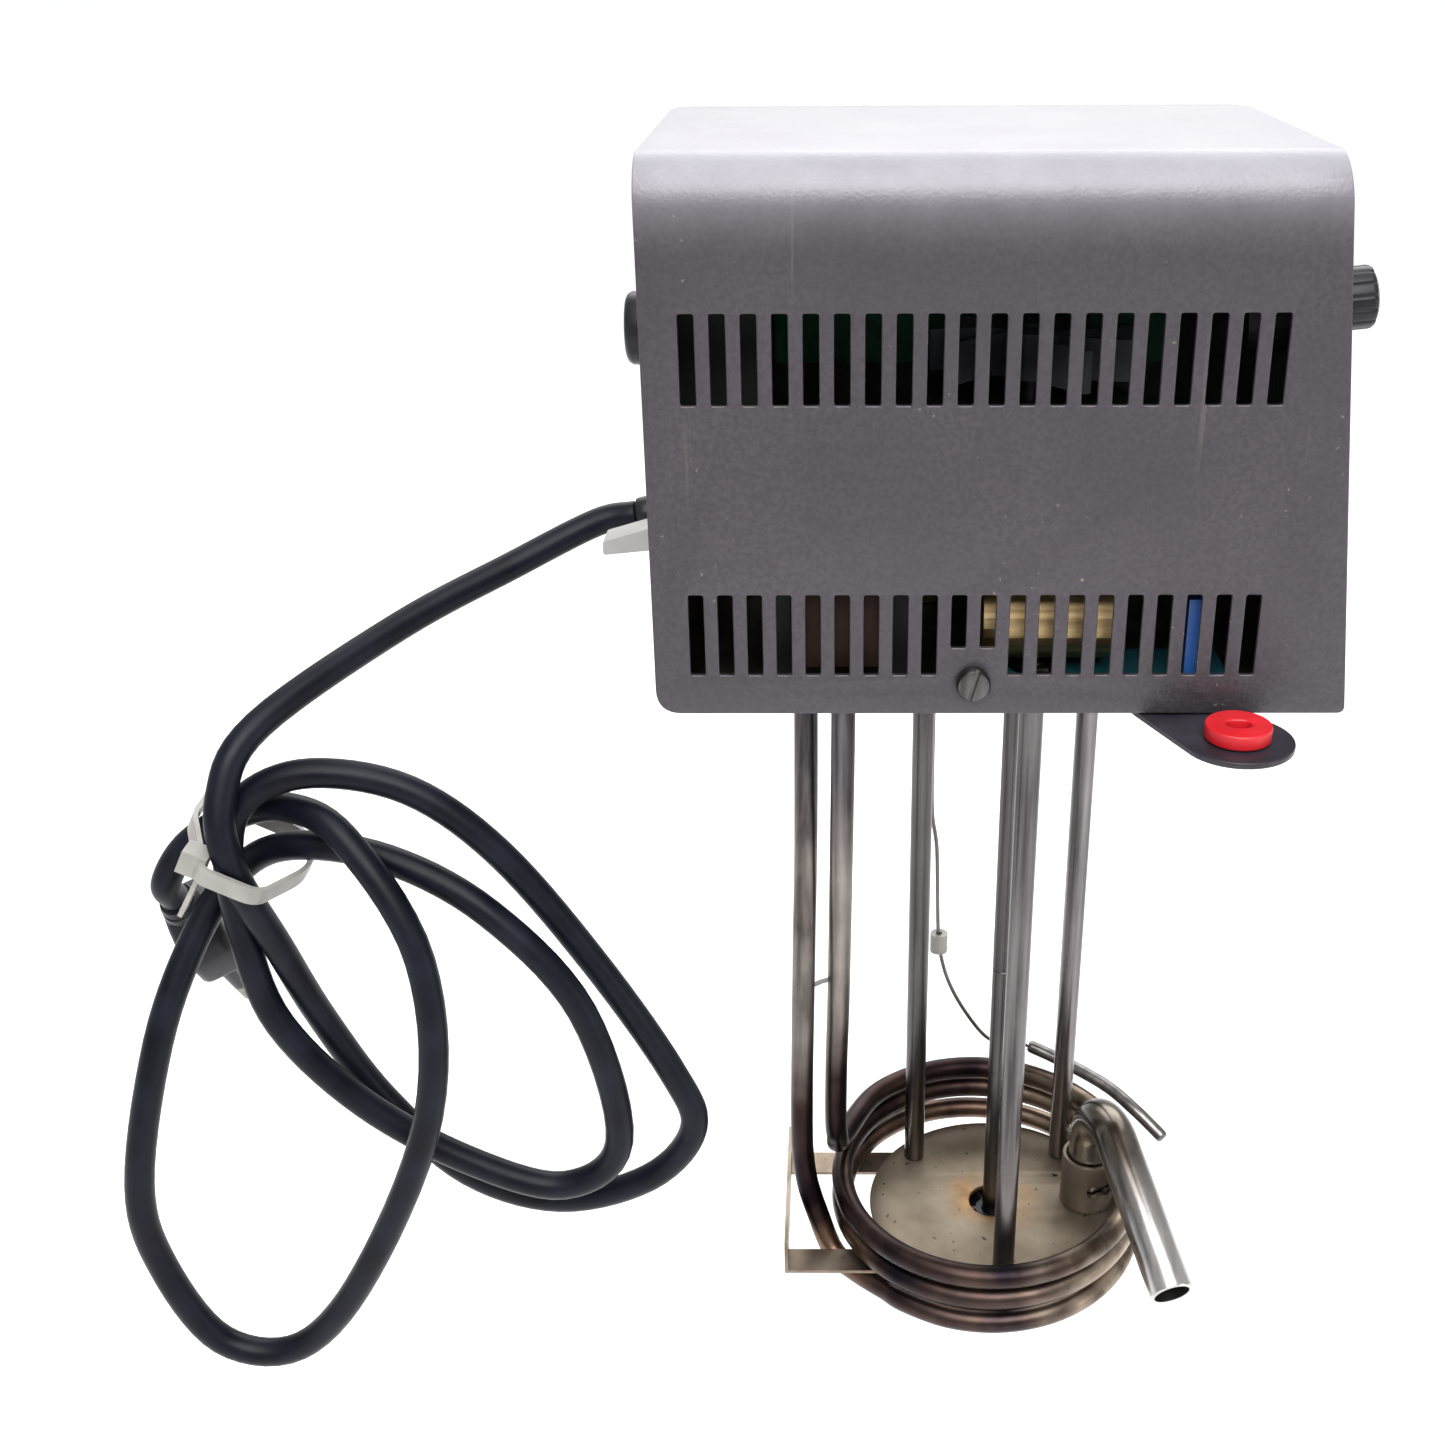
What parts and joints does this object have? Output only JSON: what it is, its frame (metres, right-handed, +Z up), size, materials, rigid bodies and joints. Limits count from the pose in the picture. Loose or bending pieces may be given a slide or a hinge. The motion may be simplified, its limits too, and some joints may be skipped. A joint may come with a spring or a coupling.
{
  "type": "immersion heating circulator",
  "caption": "Bath immersion circulator: slotted grey head, stainless rods, pump with swivelling outlet, heater coil, probe, and a mains lead tied in loops.",
  "frame": {"origin": "underside of the base plate at the middle of the head, where a bath bridge or rim carries the unit", "axes": "+Z up, -Y the slotted front, +X the knob side"},
  "size_m": [0.2964, 0.1357, 0.3176],
  "materials": {
    "paint": "textured grey powder coat, satin",
    "steel": "polished stainless steel with water marks",
    "zinc": "dull zinc-plated sheet",
    "pump": "satin stainless steel, stained",
    "heater": "stainless tube tinted brown and purple by heat",
    "brass": "brushed brass",
    "black": "black moulded plastic, satin",
    "grey": "grey moulded plastic",
    "white": "white moulded plastic",
    "nylon": "milky natural nylon",
    "red": "bright red plastic",
    "rubber": "black flexible sheath, slightly shiny",
    "iron": "black enamelled steel",
    "winding": "brown varnished winding",
    "board": "green solder mask",
    "blue": "blue film capacitor case"
  },
  "bodies": {
    "head": {"hood_cover": "paint", "back_cover": "paint", "hood_screw": "steel", "back_screw": "steel", "base_plate": "zinc", "left_panel": "zinc", "right_panel": "zinc", "control_pot": "iron", "thermostat_body": "iron", "switch_body": "black", "rod_left": "steel", "rod_right": "steel", "rod_front": "steel", "rod_nut_left": "steel", "rod_nut_right": "steel", "rod_nut_front": "steel", "motor_mount": "zinc", "motor": "iron", "shaft_bush": "brass", "pump_plate": "pump", "pump_housing": "pump", "outlet_socket": "pump", "heater_coil": "heater", "heater_gland_inner": "brass", "heater_gland_outer": "brass", "heater_link": "steel", "guard_bracket": "zinc", "capillary": "steel", "thermostat_bulb": "steel", "capillary_tie": "nylon", "arm_pivot": "steel", "power_board": "board", "motor_capacitor": "brass", "filter_capacitor": "blue", "control_board": "board", "board_spacer_left": "white", "board_spacer_right": "white", "terminal_block": "white", "transformer_core": "iron", "transformer_winding": "winding", "strain_relief": "rubber", "mains_cord": "rubber", "cord_tie": "nylon", "plug_body": "rubber", "plug_pin_left": "brass", "plug_pin_right": "brass"},
    "rotor": {"pump_shaft": "steel", "cooling_fan": "grey", "impeller": "black"},
    "knob": {"control_knob": "black", "knob_cap": "grey"},
    "dial": {"limit_dial": "black"},
    "paddle": {"switch_paddle": "white"},
    "arm": {"swivel_arm": "black", "red_bush": "red"},
    "outlet": {"outlet_elbow": "steel", "elbow_pin": "steel"}
  },
  "joints": [
    {"name": "rotor_spin", "type": "hinge", "parent": "head", "child": "rotor", "pos_m": [0.0167, -0.00405, -0.06], "axis": [0, 0, 1], "continuous": true},
    {"name": "knob_turn", "type": "hinge", "parent": "head", "child": "knob", "pos_m": [0.0756, -0.0264, 0.0892], "axis": [0.9947, 0, 0.1032], "range_deg": [-135, 135]},
    {"name": "dial_turn", "type": "hinge", "parent": "head", "child": "dial", "pos_m": [-0.0692, -0.0094, 0.0803], "axis": [-1, 0, 0], "range_deg": [-140, 140]},
    {"name": "switch_tip", "type": "hinge", "parent": "head", "child": "paddle", "pos_m": [-0.064, -0.017, 0.0335], "axis": [0, 1, 0], "range_deg": [0, 24]},
    {"name": "arm_swing", "type": "hinge", "parent": "head", "child": "arm", "pos_m": [0.0476, -0.0448, -0.001], "axis": [0, 0, 1], "range_deg": [-80, 15]},
    {"name": "outlet_swivel", "type": "hinge", "parent": "head", "child": "outlet", "pos_m": [0.0449, -0.0028, -0.17], "axis": [0, 0, 1], "range_deg": [-30, 15]}
  ]
}
